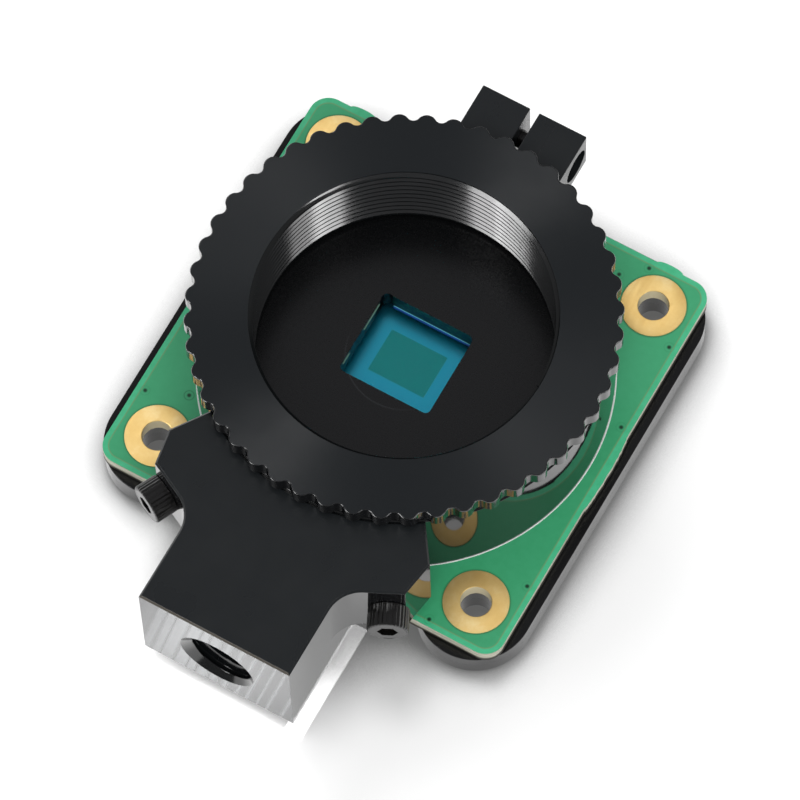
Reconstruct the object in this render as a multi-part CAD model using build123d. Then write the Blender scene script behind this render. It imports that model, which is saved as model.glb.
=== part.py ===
from build123d import *
import os
from math import cos, sin, tan, radians, sqrt, pi

# A board camera module with a screw-in lens mount. Millimetres, +Z along the
# optical axis. The origin is on that axis, at the underside of the back cover.
# The tripod mount points along -Y and the clamp ears along +Y.

# square of mounting holes, which the other sizes follow
hole_spacing = 30.0
hole_r = 1.3
hole_edge = 4.6
land_r = 2.75
land_gap = 1.163
land_thickness = 0.05

# back cover, a shallow tray under the board
cover_corner_r = 4.8
cover_thickness = 2.7
cover_floor = 0.9
cover_rim = 1.6
cover_boss_r = 3.3
notch_clearance = 0.3
notch_corner_r = 1.2

# circuit board
board_margin = 0.85
board_trim = 0.1
board_shift_y = -0.08
board_corner_r = 1.7
board_thickness = 1.4
stub_width = 2.4
stub_reach = 0.28
stub_offset = 14.6
side_stub_width = 7.2
side_stub_reach = 0.22

# lens housing
housing_wall = 2.25
housing_height = 9.75
housing_top_break = 0.15
floor_height = 3.5
floor_thickness = 1.9
aperture_x = 8.4
aperture_y = 7.8
aperture_corner_r = 0.45
aperture_shift = (0.02, 0.1)
corner_drill_r = 0.54
corner_drill_inset = 0.48

# clamp ears with their lock screw
ear_width = 9.72
ear_length = 4.5
ear_height = 4.65
ear_corner_break = 0.12
slot_width = 0.85
lock_offset = 2.7
lock_drop = 2.4
lock_head_r = 1.35
lock_bore_clearance = 0.15
lock_head_length = 1.8
lock_shank_r = 0.8
lock_hex_af = 1.3
lock_hex_depth = 0.9
lock_web = 1.7

# focus ring
ring_wall = 2.7
ring_clearance = 0.05
mouth_break = 0.35
thread_pitch = 0.794
thread_depth = 0.35
thread_turns = 8
thread_run_out = 0.6
ring_floor_gap = 0.5
flange_gap = 0.45
flange_thickness = 1.6
lobe_count = 48
lobe_depth = 0.57
lobe_crest_share = 0.6
lobe_phase = 0.73

# sensor stack
package_x = 12.0
package_y = 10.6
package_height = 0.95
package_floor = 0.65
cavity_x = 9.8
cavity_y = 9.2
die_gap = 0.15
die_thickness = 0.2
pixel_x = 5.25
pixel_y = 4.05
pixel_shift_y = 0.27
pixel_thickness = 0.01
cover_glass_thickness = 0.3
cover_glass_lap = 0.5
filter_x = 9.8
filter_y = 9.2
filter_thickness = 0.3
seal_gap = 0.1
seal_wall = 1.2
seal_clearance = 0.3

# screws that hold the housing to the board and the cover
base_screw_x = 12.2
base_screw_r = 0.95
base_screw_clearance = 0.1
base_screw_depth = 2.4
base_head_r = 1.9
base_head_height = 1.2
base_head_clearance = 0.2
base_hex_af = 1.5
base_hex_depth = 0.7
base_web = 1.1

# tripod mount
mount_length = 13.64
mount_board_gap = 0.3
wing_height = 7.1
wing_reach = 6.1
wing_tip = 1.23
wing_flare = 0.5
wing_undercut = 2.15
wing_side_rise = 0.05
wing_face_angle = 26.3
wing_fillet_r = 3.0
mount_edge_break = 0.15
tripod_hole_r = 2.6
tripod_hole_depth = 9.0
tripod_hole_height = 3.75
tripod_mouth_r = 3.4

# tripod mount screws
mount_screw_r = 0.95
mount_screw_clearance = 0.12
tap_clearance = 0.05
mount_screw_bite = 1.6
mount_screw_tip_gap = 0.2
mount_head_r = 1.72
mount_head_gap = 0.23
mount_head_height = 2.0
mount_head_break = 0.15
mount_hex_af = 1.5
mount_hex_depth = 1.0

# ribbon connector
connector_width = 18.4
connector_depth = 4.9
connector_height = 2.5
connector_inset = 0.25
connector_wall = 0.9
connector_mouth_height = 1.3
connector_floor = 0.55
connector_back_wall = 1.1
latch_bar_depth = 1.3
latch_bar_height = 2.0
latch_bar_drop = 0.4
latch_overhang = 0.15
latch_tongue_length = 3.0
latch_tongue_thickness = 0.45
latch_clearance = 0.08
ribbon_slot_height = 0.7
contact_pitch = 1.0
contact_count = 15
contact_width = 0.3
contact_thickness = 0.2
contact_tail = 0.9
contact_clearance = 0.03
anchor_thickness = 0.25
anchor_length = 2.2
anchor_foot = 0.5

# parts soldered under the board
chip_height = 0.9
chip_size = (4.0, 3.0)
chip_places = [(-7.5, 8.5), (7.0, -7.5)]
oscillator_size = (3.2, 2.5, 0.8)
oscillator_place = (5.5, 8.6)
capacitor_size = (1.6, 0.8, 0.8)
capacitor_rows = [(-6.0, 4.2), (-3.0, 4.2), (0.0, 4.2), (3.0, 4.2),
                  (-4.5, -4.5), (-1.5, -4.5), (1.5, -4.5), (-6.5, -8.0)]
terminal_length = 0.35

# levels and edges that follow from the sizes above
cover_width = hole_spacing + 2 * hole_edge
board_width = cover_width - 2 * board_margin
board_depth = board_width - board_trim
housing_r = hole_spacing * sqrt(2) / 2 - land_r - land_gap
housing_bore_r = housing_r - housing_wall
ring_thread_r = housing_bore_r - ring_clearance
lens_thread_r = ring_thread_r - ring_wall
lobe_crest_rise = lobe_crest_share * lobe_depth
lobe_valley_rise = lobe_depth - lobe_crest_rise
lobe_node_r = housing_r + lobe_valley_rise
ear_reach = housing_r + ear_length
lock_y = housing_r + lock_offset
board_z = cover_thickness
deck_z = board_z + board_thickness
housing_top_z = deck_z + housing_height
floor_z = deck_z + floor_height
web_z = floor_z - floor_thickness
pocket_width = package_x + 2 * (seal_clearance + seal_wall + seal_gap)
ring_bottom_z = floor_z + ring_floor_gap
flange_z = housing_top_z + flange_gap
ring_top_z = flange_z + flange_thickness
cover_half = cover_width / 2
corner_centre = cover_half - cover_corner_r
hole_at = hole_spacing / 2
board_front_y = board_shift_y - board_depth / 2
board_back_y = board_shift_y + board_depth / 2
wing_face_r = housing_r + wing_reach
screw_x = wing_face_r * sin(radians(wing_face_angle))
wing_corner_x = screw_x + wing_tip
wing_side_x = wing_corner_x + wing_flare
wing_root_x = wing_side_x - wing_undercut
wing_side_y = wing_side_rise - housing_r
fillet_run = wing_fillet_r * tan(radians((90 - wing_face_angle) / 2))
mount_half = screw_x - (mount_head_r + mount_head_gap + fillet_run) * cos(radians(wing_face_angle))
mount_end_y = -housing_r - mount_length
mount_top_z = housing_top_z
mount_inner_y = board_front_y - mount_board_gap
tripod_axis_z = deck_z + tripod_hole_height
wing_z = mount_top_z - wing_height
screw_axis_z = mount_top_z - wing_height / 2
lock_z = housing_top_z - lock_drop
connector_mouth_y = board_front_y + connector_inset
notch_half = connector_width / 2 + anchor_foot + notch_clearance
notch_y = connector_mouth_y + connector_depth + contact_tail + notch_clearance
notch_lobe_r = corner_centre - notch_half
pixel_z = deck_z + package_floor + die_thickness
big = 60.0


def drum(r, z0, z1):
    """Solid cylinder on the optical axis between two levels."""
    return Pos(0, 0, z0) * Cylinder(r, z1 - z0, align=(Align.CENTER, Align.CENTER, Align.MIN))


def slab(x, y, z0, z1, cx=0.0, cy=0.0):
    """Box centred at cx, cy between two levels."""
    return Pos(cx, cy, z0) * Box(x, y, z1 - z0, align=(Align.CENTER, Align.CENTER, Align.MIN))


def rounded_slab(x, y, r, z0, z1, cx=0.0, cy=0.0):
    """Plate with rounded corners between two levels."""
    return extrude(Pos(cx, cy, z0) * RectangleRounded(x, y, r), z1 - z0)


def corners():
    """Centres of the four board holes."""
    return [(sx * hole_at, sy * hole_at) for sx in (-1, 1) for sy in (-1, 1)]


def base_screw_places():
    return [(-base_screw_x, 0.0), (base_screw_x, 0.0)]


def hex_socket(af, depth):
    """Hexagonal recess that opens at z = 0 and runs down."""
    return extrude(RegularPolygon(af / 2, 6, major_radius=False), -depth)


def cap_screw(head_r, head_h, shank_r, shank_l, af, socket, rim):
    """Socket head screw along Z, its seat at z = 0 and its head above."""
    head = Cylinder(head_r, head_h, align=(Align.CENTER, Align.CENTER, Align.MIN))
    head = chamfer(head.edges().sort_by(Axis.Z)[-1], rim)
    shank = Cylinder(shank_r, shank_l, align=(Align.CENTER, Align.CENTER, Align.MAX))
    return head + shank - Pos(0, 0, head_h) * hex_socket(af, socket)


def radial(side, r, z):
    """Location on a tripod screw's axis, its Z pointing out from the housing."""
    a = radians(wing_face_angle)
    out = Vector(side * sin(a), -cos(a), 0)
    return Plane(origin=(out.X * r, out.Y * r, z), x_dir=(0, 0, 1), z_dir=out).location


def lobe_outline():
    """Outline of the flange: broad crests and narrower valleys, all tangent arcs."""
    pitch = 2 * pi / lobe_count
    crest = lobe_crest_share * pitch
    edges = []
    for i in range(lobe_count):
        a = radians(lobe_phase) + i * pitch - crest / 2
        for span, r in ((crest, lobe_node_r + lobe_crest_rise),
                        (pitch - crest, lobe_node_r - lobe_valley_rise)):
            m, b = a + span / 2, a + span
            edges.append(ThreePointArc(
                (lobe_node_r * cos(a), lobe_node_r * sin(a)),
                (r * cos(m), r * sin(m)),
                (lobe_node_r * cos(b), lobe_node_r * sin(b))))
            a = b
    return make_face(Wire(edges))


def lens_bore():
    """Bore for the lens: the turns of its thread as a row of grooves, and a flared mouth."""
    r, z = lens_thread_r, ring_bottom_z + thread_run_out
    profile = [(0, ring_bottom_z - 1), (r, ring_bottom_z - 1), (r, z)]
    for i in range(thread_turns):
        profile += [(r + thread_depth, z + thread_pitch / 2), (r, z + thread_pitch)]
        z += thread_pitch
    profile += [(r, ring_top_z - mouth_break), (r + mouth_break, ring_top_z),
                (r + mouth_break, ring_top_z + 1), (0, ring_top_z + 1)]
    return revolve(Plane.XZ * make_face(Polyline(*profile, close=True)), Axis.Z)


def focus_ring():
    """Ring that screws up and down in the housing, its scalloped flange above."""
    body = drum(ring_thread_r, ring_bottom_z, ring_top_z)
    body += extrude(Pos(0, 0, flange_z) * lobe_outline(), flange_thickness)
    return body - lens_bore()


def lens_housing():
    """Turned cup with the clamp ears, the sensor window and its pocket below."""
    body = drum(housing_r, deck_z, housing_top_z)
    body = chamfer(body.edges().sort_by(Axis.Z)[-1], housing_top_break)
    ear_y0 = housing_r - cover_rim
    ears = slab(ear_width, ear_reach - ear_y0, housing_top_z - ear_height, housing_top_z,
                0, (ear_reach + ear_y0) / 2)
    ears = chamfer(ears.edges().filter_by(Axis.Z).sort_by(Axis.Y)[-2:], ear_corner_break)
    body += ears
    body -= drum(housing_bore_r, floor_z, housing_top_z + 1)
    body -= slab(slot_width, ear_reach, housing_top_z - ear_height, housing_top_z + 1,
                 0, housing_bore_r - 1 + ear_reach / 2)
    cx, cy = aperture_shift
    body -= rounded_slab(aperture_x, aperture_y, aperture_corner_r, web_z - 1, floor_z + 1, cx, cy)
    body -= Pos(cx - aperture_x / 2 + corner_drill_inset, cy + aperture_y / 2 - corner_drill_inset, 0) * \
        drum(corner_drill_r, web_z - 1, floor_z + 1)
    body -= slab(pocket_width, pocket_width, deck_z - 1, web_z)
    for x, y in base_screw_places():
        body -= Pos(x, y, deck_z) * Cylinder(base_screw_r + tap_clearance, base_screw_depth,
                                             align=(Align.CENTER, Align.CENTER, Align.MIN))
    for side in (-1, 1):
        body -= radial(side, housing_r - mount_screw_bite - mount_screw_tip_gap, screw_axis_z) * \
            Cylinder(mount_screw_r + tap_clearance, housing_r,
                     align=(Align.CENTER, Align.CENTER, Align.MIN))
    lock = Plane(origin=(0, lock_y, lock_z), x_dir=(0, 1, 0), z_dir=(1, 0, 0)).location
    body -= lock * Pos(0, 0, -ear_width / 2 + lock_web) * Cylinder(
        lock_shank_r + tap_clearance, ear_width,
        align=(Align.CENTER, Align.CENTER, Align.MIN))
    body -= lock * Pos(0, 0, slot_width / 2 + lock_web) * Cylinder(
        lock_head_r + lock_bore_clearance, ear_width,
        align=(Align.CENTER, Align.CENTER, Align.MIN))
    return body


def lock_screw():
    """Screw that pulls the two ears together."""
    seat = slot_width / 2 + lock_web
    length = seat + ear_width / 2 - lock_web - mount_screw_tip_gap
    screw = cap_screw(lock_head_r, lock_head_length, lock_shank_r, length,
                      lock_hex_af, lock_hex_depth, mount_head_break)
    return Plane(origin=(seat, lock_y, lock_z), x_dir=(0, 1, 0), z_dir=(1, 0, 0)).location * screw


def tripod_mount():
    """T-shaped block: two wings on the housing wall and a threaded foot."""
    a = radians(wing_face_angle)
    face_y = -(wing_face_r - wing_corner_x * sin(a)) / cos(a)
    neck_y = -(wing_face_r - mount_half * sin(a)) / cos(a)
    root_y = -sqrt(housing_r ** 2 - wing_root_x ** 2)
    right = [(wing_root_x, root_y), (wing_side_x, wing_side_y), (wing_corner_x, face_y),
             (mount_half, neck_y), (mount_half, mount_end_y)]
    left = [(-x, y) for x, y in reversed(right)]
    arc = ThreePointArc(left[-1], (0, -housing_r), right[0])
    outline = make_face(Wire(Polyline(*right, *left).edges() + [arc]))
    outline = fillet(outline.vertices().filter_by(
        lambda v: abs(v.Y - neck_y) < tap_clearance), wing_fillet_r)
    wings = extrude(Pos(0, 0, wing_z) * outline, wing_height)
    foot = slab(2 * mount_half, mount_inner_y - mount_end_y, board_z, wing_z + 1,
                0, (mount_inner_y + mount_end_y) / 2)
    body = wings + foot
    top = body.edges().filter_by(lambda e: abs(e.center().Z - mount_top_z) < tap_clearance)
    body = chamfer(top.filter_by(lambda e: e.center().Y < root_y - tap_clearance),
                   mount_edge_break)
    hole = Plane(origin=(0, mount_end_y, tripod_axis_z), x_dir=(1, 0, 0),
                 z_dir=(0, 1, 0)).location
    body -= hole * Cylinder(tripod_hole_r, tripod_hole_depth,
                            align=(Align.CENTER, Align.CENTER, Align.MIN))
    body -= hole * Cone(tripod_mouth_r, tripod_hole_r, tripod_mouth_r - tripod_hole_r,
                        align=(Align.CENTER, Align.CENTER, Align.MIN))
    for side in (-1, 1):
        body -= radial(side, housing_r - 1, screw_axis_z) * Cylinder(
            mount_screw_r + mount_screw_clearance, wing_face_r,
            align=(Align.CENTER, Align.CENTER, Align.MIN))
    return body


def tripod_screws():
    """The two screws that hold the tripod mount to the housing."""
    length = wing_face_r - housing_r + mount_screw_bite
    screw = cap_screw(mount_head_r, mount_head_height, mount_screw_r, length,
                      mount_hex_af, mount_hex_depth, mount_head_break)
    return [radial(side, wing_face_r, screw_axis_z) * screw for side in (-1, 1)]


def base_screws():
    """Screws from below, through cover and board, into the housing."""
    seat_z = base_web_z()
    length = deck_z - seat_z + base_screw_depth - mount_screw_tip_gap
    screw = cap_screw(base_head_r, base_head_height, base_screw_r, length,
                      base_hex_af, base_hex_depth, mount_head_break)
    return [Pos(x, y, seat_z) * Rot(180, 0, 0) * screw for x, y in base_screw_places()]


def base_web_z():
    """Level where the base screws' heads seat in the cover."""
    return cover_thickness - base_web


def circuit_board():
    """Board with its corner holes and the stubs of its breakaway tabs."""
    board = rounded_slab(board_width, board_depth, board_corner_r, board_z, deck_z,
                         0, board_shift_y)
    for side in (-1, 1):
        stub = extrude(Pos(side * stub_offset, board_back_y, board_z) * Ellipse(
            stub_width / 2, stub_reach), board_thickness)
        board += stub
    board += extrude(Pos(board_width / 2, 0, board_z) * Ellipse(
        side_stub_reach, side_stub_width / 2), board_thickness)
    for x, y in corners():
        board -= Pos(x, y, board_z - 1) * Cylinder(
            hole_r, board_thickness + 2,
            align=(Align.CENTER, Align.CENTER, Align.MIN))
    for x, y in base_screw_places():
        board -= Pos(x, y, board_z - 1) * Cylinder(
            base_screw_r + base_screw_clearance, board_thickness + 2,
            align=(Align.CENTER, Align.CENTER, Align.MIN))
    return board


def hole_lands():
    """Plated rims of the four holes."""
    land = drum(land_r, deck_z, deck_z + land_thickness) - drum(hole_r, deck_z - 1, deck_z + 1)
    return [Pos(x, y, 0) * land for x, y in corners()]


def cover_outline():
    """Outline of the cover: round corners, and a notch between the front lobes."""
    h, r, c = cover_half, cover_corner_r, corner_centre
    n, y = notch_half, notch_y
    d = r * sin(radians(45))
    k = notch_lobe_r
    q = k * (1 - sin(radians(45)))
    pts = [(h, -c), (h, c), (c, h), (-c, h), (-h, c), (-h, -c)]
    parts = [Line(pts[0], pts[1]),
             ThreePointArc(pts[1], (c + d, c + d), pts[2]),
             Line(pts[2], pts[3]),
             ThreePointArc(pts[3], (-c - d, c + d), pts[4]),
             Line(pts[4], pts[5]),
             ThreePointArc(pts[5], (-c - d, -c - d), (-c, -h)),
             ThreePointArc((-c, -h), (-n - q, -h + q), (-n, -h + k)),
             Line((-n, -h + k), (-n, y)), Line((-n, y), (n, y)), Line((n, y), (n, -h + k)),
             ThreePointArc((n, -h + k), (n + q, -h + q), (c, -h)),
             ThreePointArc((c, -h), (c + d, -c - d), pts[0])]
    face = make_face(Wire(parts))
    inner = face.vertices().filter_by(
        lambda v: abs(v.Y - y) < tap_clearance and abs(v.X) < n + tap_clearance)
    return fillet(inner, notch_corner_r)


def back_cover():
    """Shallow tray that closes the board's underside and carries the module."""
    body = extrude(cover_outline(), cover_thickness)
    front, back = notch_y + cover_rim, hole_at - cover_boss_r
    middle, wide, narrow = (front + back) / 2, cover_half - cover_rim, hole_at - cover_boss_r
    well = slab(2 * wide, back - front, cover_floor, big, 0, middle)
    well += slab(2 * narrow, wide - front, cover_floor, big, 0, (front + wide) / 2)
    for x, y in base_screw_places():
        well -= Pos(x, y, 0) * drum(cover_boss_r, 0, big)
    body -= well
    for x, y in corners():
        body -= Pos(x, y, 0) * drum(hole_r, -1, big)
    for x, y in base_screw_places():
        body -= Pos(x, y, 0) * drum(base_screw_r + base_screw_clearance, -1, big)
        body -= Pos(x, y, 0) * drum(base_head_r + base_head_clearance, -1, base_web_z())
    return body


def sensor_package():
    """Ceramic tray soldered to the board, open at the top for the die."""
    body = slab(package_x, package_y, deck_z, deck_z + package_height)
    return body - slab(cavity_x, cavity_y, deck_z + package_floor, deck_z + package_height + 1)


def sensor_die():
    """Silicon die on the floor of the package."""
    z = deck_z + package_floor
    return slab(cavity_x - 2 * die_gap, cavity_y - 2 * die_gap, z, z + die_thickness)


def pixel_array():
    """Light-sensitive area on the die."""
    return slab(pixel_x, pixel_y, pixel_z, pixel_z + pixel_thickness, 0, pixel_shift_y)


def sensor_glass():
    """Glass lid sealed on the rim of the package."""
    z = deck_z + package_height
    return slab(cavity_x + cover_glass_lap, cavity_y + cover_glass_lap,
                z, z + cover_glass_thickness)


def filter_glass():
    """Tinted filter bonded under the window of the housing floor."""
    return slab(filter_x, filter_y, web_z - filter_thickness, web_z)


def light_seal():
    """Foam frame around the sensor, between the board and the housing floor."""
    outer = pocket_width - 2 * seal_gap
    inner = outer - 2 * seal_wall
    return slab(outer, outer, deck_z, web_z) - slab(inner, inner, deck_z - 1, web_z + 1)


def ribbon_connector():
    """Flat-cable connector under the board's front edge, its mouth to -Y."""
    y0, z1 = connector_mouth_y, board_z
    z0 = z1 - connector_height
    cy = y0 + connector_depth / 2
    body = slab(connector_width, connector_depth, z0, z1, 0, cy)
    mouth = connector_depth - connector_back_wall
    body -= slab(connector_width - 2 * connector_wall, mouth, z0 + connector_floor,
                 z0 + connector_floor + connector_mouth_height, 0, y0 + mouth / 2)
    for x in contact_places():
        body -= slab(contact_width + 2 * contact_clearance, connector_depth,
                     z1 - contact_thickness - contact_clearance, z1 + 1,
                     x, cy + connector_back_wall)
    return body


def contact_places():
    first = -(contact_count - 1) / 2 * contact_pitch
    return [first + i * contact_pitch for i in range(contact_count)]


def connector_contacts():
    """Row of flat contacts, let into the connector's roof and soldered behind it."""
    back = connector_mouth_y + connector_depth + contact_tail
    front = connector_mouth_y + connector_back_wall + contact_clearance
    return [slab(contact_width, back - front, board_z - contact_thickness, board_z,
                 x, (back + front) / 2) for x in contact_places()]


def connector_anchors():
    """Side tabs that solder the connector down: an upright and a foot."""
    z0 = board_z - connector_height / 2
    cy = connector_mouth_y + connector_depth / 2
    tabs = []
    for side in (-1, 1):
        x = side * (connector_width / 2 + anchor_thickness / 2)
        up = slab(anchor_thickness, anchor_length, z0, board_z, x, cy)
        foot = slab(anchor_foot, anchor_length, board_z - contact_thickness, board_z,
                    side * (connector_width / 2 + anchor_foot / 2), cy)
        tabs.append(up + foot)
    return tabs


def connector_latch():
    """Sliding bar that grips the ribbon: a bar in front and a tongue in the mouth."""
    z0 = board_z - connector_height
    mouth_z1 = z0 + connector_floor + connector_mouth_height
    y1 = connector_mouth_y - latch_clearance
    bar_z1 = board_z - latch_bar_drop
    bar = slab(connector_width + 2 * latch_overhang, latch_bar_depth,
               bar_z1 - latch_bar_height, bar_z1, 0, y1 - latch_bar_depth / 2)
    tongue_w = connector_width - 2 * connector_wall - 2 * latch_clearance
    tongue_z1 = mouth_z1 - latch_clearance
    tongue = slab(tongue_w, latch_tongue_length + latch_bar_depth / 2,
                  tongue_z1 - latch_tongue_thickness, tongue_z1, 0,
                  y1 + latch_tongue_length / 2 - latch_bar_depth / 4)
    slot_z1 = tongue_z1 - latch_tongue_thickness
    slot = slab(tongue_w, 3 * latch_bar_depth, slot_z1 - ribbon_slot_height, slot_z1,
                0, y1 - latch_bar_depth)
    return bar + tongue - slot


def board_chips():
    """Regulator chips under the board."""
    x, y = chip_size
    return [slab(x, y, board_z - chip_height, board_z, cx, cy) for cx, cy in chip_places]


def oscillator():
    x, y, z = oscillator_size
    return slab(x, y, board_z - z, board_z, *oscillator_place)


def capacitors():
    x, y, z = capacitor_size
    return [slab(x - 2 * terminal_length, y, board_z - z, board_z, cx, cy)
            for cx, cy in capacitor_rows]


def capacitor_ends():
    """Plated end caps of the capacitors."""
    x, y, z = capacitor_size
    off = (x - terminal_length) / 2
    return [slab(terminal_length, y, board_z - z, board_z, cx + s * off, cy)
            for cx, cy in capacitor_rows for s in (-1, 1)]


def save(name, shape):
    """Write one node, a single solid or a group of separate ones."""
    if isinstance(shape, list):
        shape = Compound(children=shape)
    export_step(shape, "parts/" + name + ".step")


os.makedirs("parts", exist_ok=True)
save("focus_ring", focus_ring())
save("lens_housing", lens_housing())
save("lock_screw", lock_screw())
save("tripod_mount", tripod_mount())
save("tripod_screws", tripod_screws())
save("base_screws", base_screws())
save("circuit_board", circuit_board())
save("hole_lands", hole_lands())
save("back_cover", back_cover())
save("sensor_package", sensor_package())
save("sensor_die", sensor_die())
save("pixel_array", pixel_array())
save("sensor_glass", sensor_glass())
save("filter_glass", filter_glass())
save("light_seal", light_seal())
save("ribbon_connector", ribbon_connector())
save("connector_contacts", connector_contacts())
save("connector_anchors", connector_anchors())
save("connector_latch", connector_latch())
save("board_chips", board_chips())
save("oscillator", oscillator())
save("capacitors", capacitors())
save("capacitor_ends", capacitor_ends())
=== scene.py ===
"""Looks of a board camera module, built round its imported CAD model.

Lengths are in millimetres, unless a comment says metres. They become metres in meshes and in materials.
"""

import math
import random
from itertools import product

import bpy
from mathutils import Matrix, Vector
from mathutils.geometry import tessellate_polygon


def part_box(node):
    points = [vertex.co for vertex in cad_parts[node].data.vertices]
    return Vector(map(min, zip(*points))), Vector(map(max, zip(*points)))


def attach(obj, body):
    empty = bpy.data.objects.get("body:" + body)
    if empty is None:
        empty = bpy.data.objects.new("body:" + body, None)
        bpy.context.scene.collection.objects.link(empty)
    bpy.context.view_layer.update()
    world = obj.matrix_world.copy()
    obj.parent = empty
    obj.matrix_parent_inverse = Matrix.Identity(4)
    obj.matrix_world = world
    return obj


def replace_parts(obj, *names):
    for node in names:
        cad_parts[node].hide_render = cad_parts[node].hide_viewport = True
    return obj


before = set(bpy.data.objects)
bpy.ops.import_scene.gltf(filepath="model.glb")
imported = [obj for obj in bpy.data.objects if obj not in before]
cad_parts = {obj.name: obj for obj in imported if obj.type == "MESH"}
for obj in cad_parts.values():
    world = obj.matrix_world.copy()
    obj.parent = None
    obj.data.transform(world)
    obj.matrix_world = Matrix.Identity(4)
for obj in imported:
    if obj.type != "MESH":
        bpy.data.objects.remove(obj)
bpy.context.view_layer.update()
random.seed(7)

MM = 0.001
DEG = math.pi / 180


def node_box(node):
    """Lowest and highest corner of a CAD node, in millimetres."""
    return [[round(value / MM, 2) for value in corner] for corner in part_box(node)]


def top_of(node):
    """Highest z of a CAD node, in millimetres."""
    return node_box(node)[1][2]


def middle(node):
    """Centre of a CAD node's box, in millimetres."""
    low, high = node_box(node)
    return [(a + b) / 2 for a, b in zip(low, high)]


# Sizes of the back cover, board and screws under it

COVER_HALF = node_box("back_cover")[1][0]
COVER_CORNER = 4.8
COVER_TOP = top_of("back_cover")
COVER_STEP = 1.6
BOARD_HALF = -node_box("circuit_board")[0][0]
BOARD_FRONT = node_box("circuit_board")[0][1]
BOARD_BACK = 18.62
BOARD_CORNER = 1.7
DECK = top_of("circuit_board")
LAND_R = 2.75
LAND_TOP = top_of("hole_lands")
HOLE_AT = node_box("hole_lands")[1][0] - LAND_R
HOLE_R = 1.3
BASE_HEAD_R = node_box("base_screws")[1][1]
BASE_SCREW_X = node_box("base_screws")[1][0] - BASE_HEAD_R

# Sizes of the lens housing, its window and its clamp ears

HOUSING_R = 17.3
HOUSING_TOP = top_of("lens_housing")
BORE_R = 15.05
FLOOR = 7.6
WEB = top_of("filter_glass")
WINDOW_LEFT, WINDOW_RIGHT = -4.18, 4.22
WINDOW_FRONT, WINDOW_BACK = -3.8, 4.0
SLOT_HALF = 0.425
EAR_START = 16.0
EAR_END = node_box("lens_housing")[1][1]
EAR_BOTTOM = 9.2
EAR_HALF = 4.86
_, LOCK_Y, LOCK_Z = middle("lock_screw")
LOCK_SEAT = 2.125

# Sizes of the focus ring

RING_BOTTOM = node_box("focus_ring")[0][2]
RING_TOP = top_of("focus_ring")
RING_BODY_R = 15.0
FLANGE_Z = 14.3
LENS_R = 12.3
LENS_ROOT_R = LENS_R + 0.35
LENS_PITCH = 0.794
LOBES = 48
LOBE_PHASE = 0.73 * DEG
LOBE_NODE = 17.528
LOBE_DEPTH = 0.57
LOBE_CREST = 0.6

# Sizes of the tripod mount

SCREW_ANGLE = 26.3 * DEG
SCREW_Z = middle("tripod_screws")[2]
WING_FACE_R = 23.4
WING_Z = 6.75
MOUNT_HALF = 6.95
MOUNT_END = node_box("tripod_mount")[0][1]
MOUNT_INNER = -19.08
TRIPOD_Z = 7.85
TRIPOD_R = 2.6
TRIPOD_ROOT_R = 3.18
TRIPOD_BORE_R = 3.2
TRIPOD_MOUTH_R = 3.4
TRIPOD_PITCH = 1.27

# One turn of a thread: share of the pitch, and height from crest to root
THREAD_FORM = [(0.0, 0.0)] + [(0.06 + 0.05 * k, k / 6) for k in range(7)]
THREAD_FORM += [(0.46, 1.0)] + [(0.56 + 0.075 * k, 1 - k / 4) for k in range(5)]

SHARP_ANGLE = 28 * DEG
SAME_POINT = 1e-5
RIM_BAND = 0.04


# Outlines

def turns(n):
    """Angles of n equal steps of a full turn."""
    return [2 * math.pi * i / n for i in range(n)]


def circle(r, n, cx=0.0, cy=0.0):
    """Closed outline of n points."""
    return [(cx + r * math.cos(a), cy + r * math.sin(a)) for a in turns(n)]


def arc(cx, cy, r, start, end, n=12, ry=None):
    """Points along an arc, angles in degrees. With ry it is part of an ellipse."""
    angles = [(start + (end - start) * i / n) * DEG for i in range(n + 1)]
    return [(cx + r * math.cos(a), cy + (ry or r) * math.sin(a)) for a in angles]


def tidy(points):
    """Drops repeated points of a closed outline."""
    out = []
    for p in points:
        if not out or math.dist(p, out[-1]) > SAME_POINT:
            out.append(p)
    if math.dist(out[0], out[-1]) < SAME_POINT:
        out.pop()
    return out


def inset(points, distance):
    """Moves a closed counter-clockwise outline inwards."""
    corners = [Vector(p) for p in points]
    out = []
    for i, corner in enumerate(corners):
        before = (corner - corners[i - 1]).normalized()
        after = (corners[(i + 1) % len(corners)] - corner).normalized()
        normal = Vector((-before.y, before.x))
        bisector = normal + Vector((-after.y, after.x))
        if bisector.length < 1e-6:
            bisector = normal.copy()
        bisector.normalize()
        reach = distance / max(bisector.dot(normal), 0.3)
        out.append((corner.x + bisector.x * reach, corner.y + bisector.y * reach))
    return out


# Mesh helpers

def placed(points, place):
    """Points moved by a matrix, if there is one."""
    return points if place is None else [tuple(place @ Vector(p)) for p in points]


def add_mesh(name, verts, faces, materials, indices=None):
    """Object from points in millimetres."""
    mesh = bpy.data.meshes.new(name)
    mesh.from_pydata([(x * MM, y * MM, z * MM) for x, y, z in verts], [], faces)
    for material in materials:
        mesh.materials.append(material)
    if indices:
        mesh.polygons.foreach_set("material_index", indices)
    mesh.validate()
    obj = bpy.data.objects.new(name, mesh)
    bpy.context.scene.collection.objects.link(obj)
    return obj


def smooth(obj):
    """Smooth shading that keeps sharp edges."""
    mesh = obj.data
    mesh.polygons.foreach_set("use_smooth", [True] * len(mesh.polygons))
    mesh.set_sharp_from_angle(angle=SHARP_ANGLE)
    return obj


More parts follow.
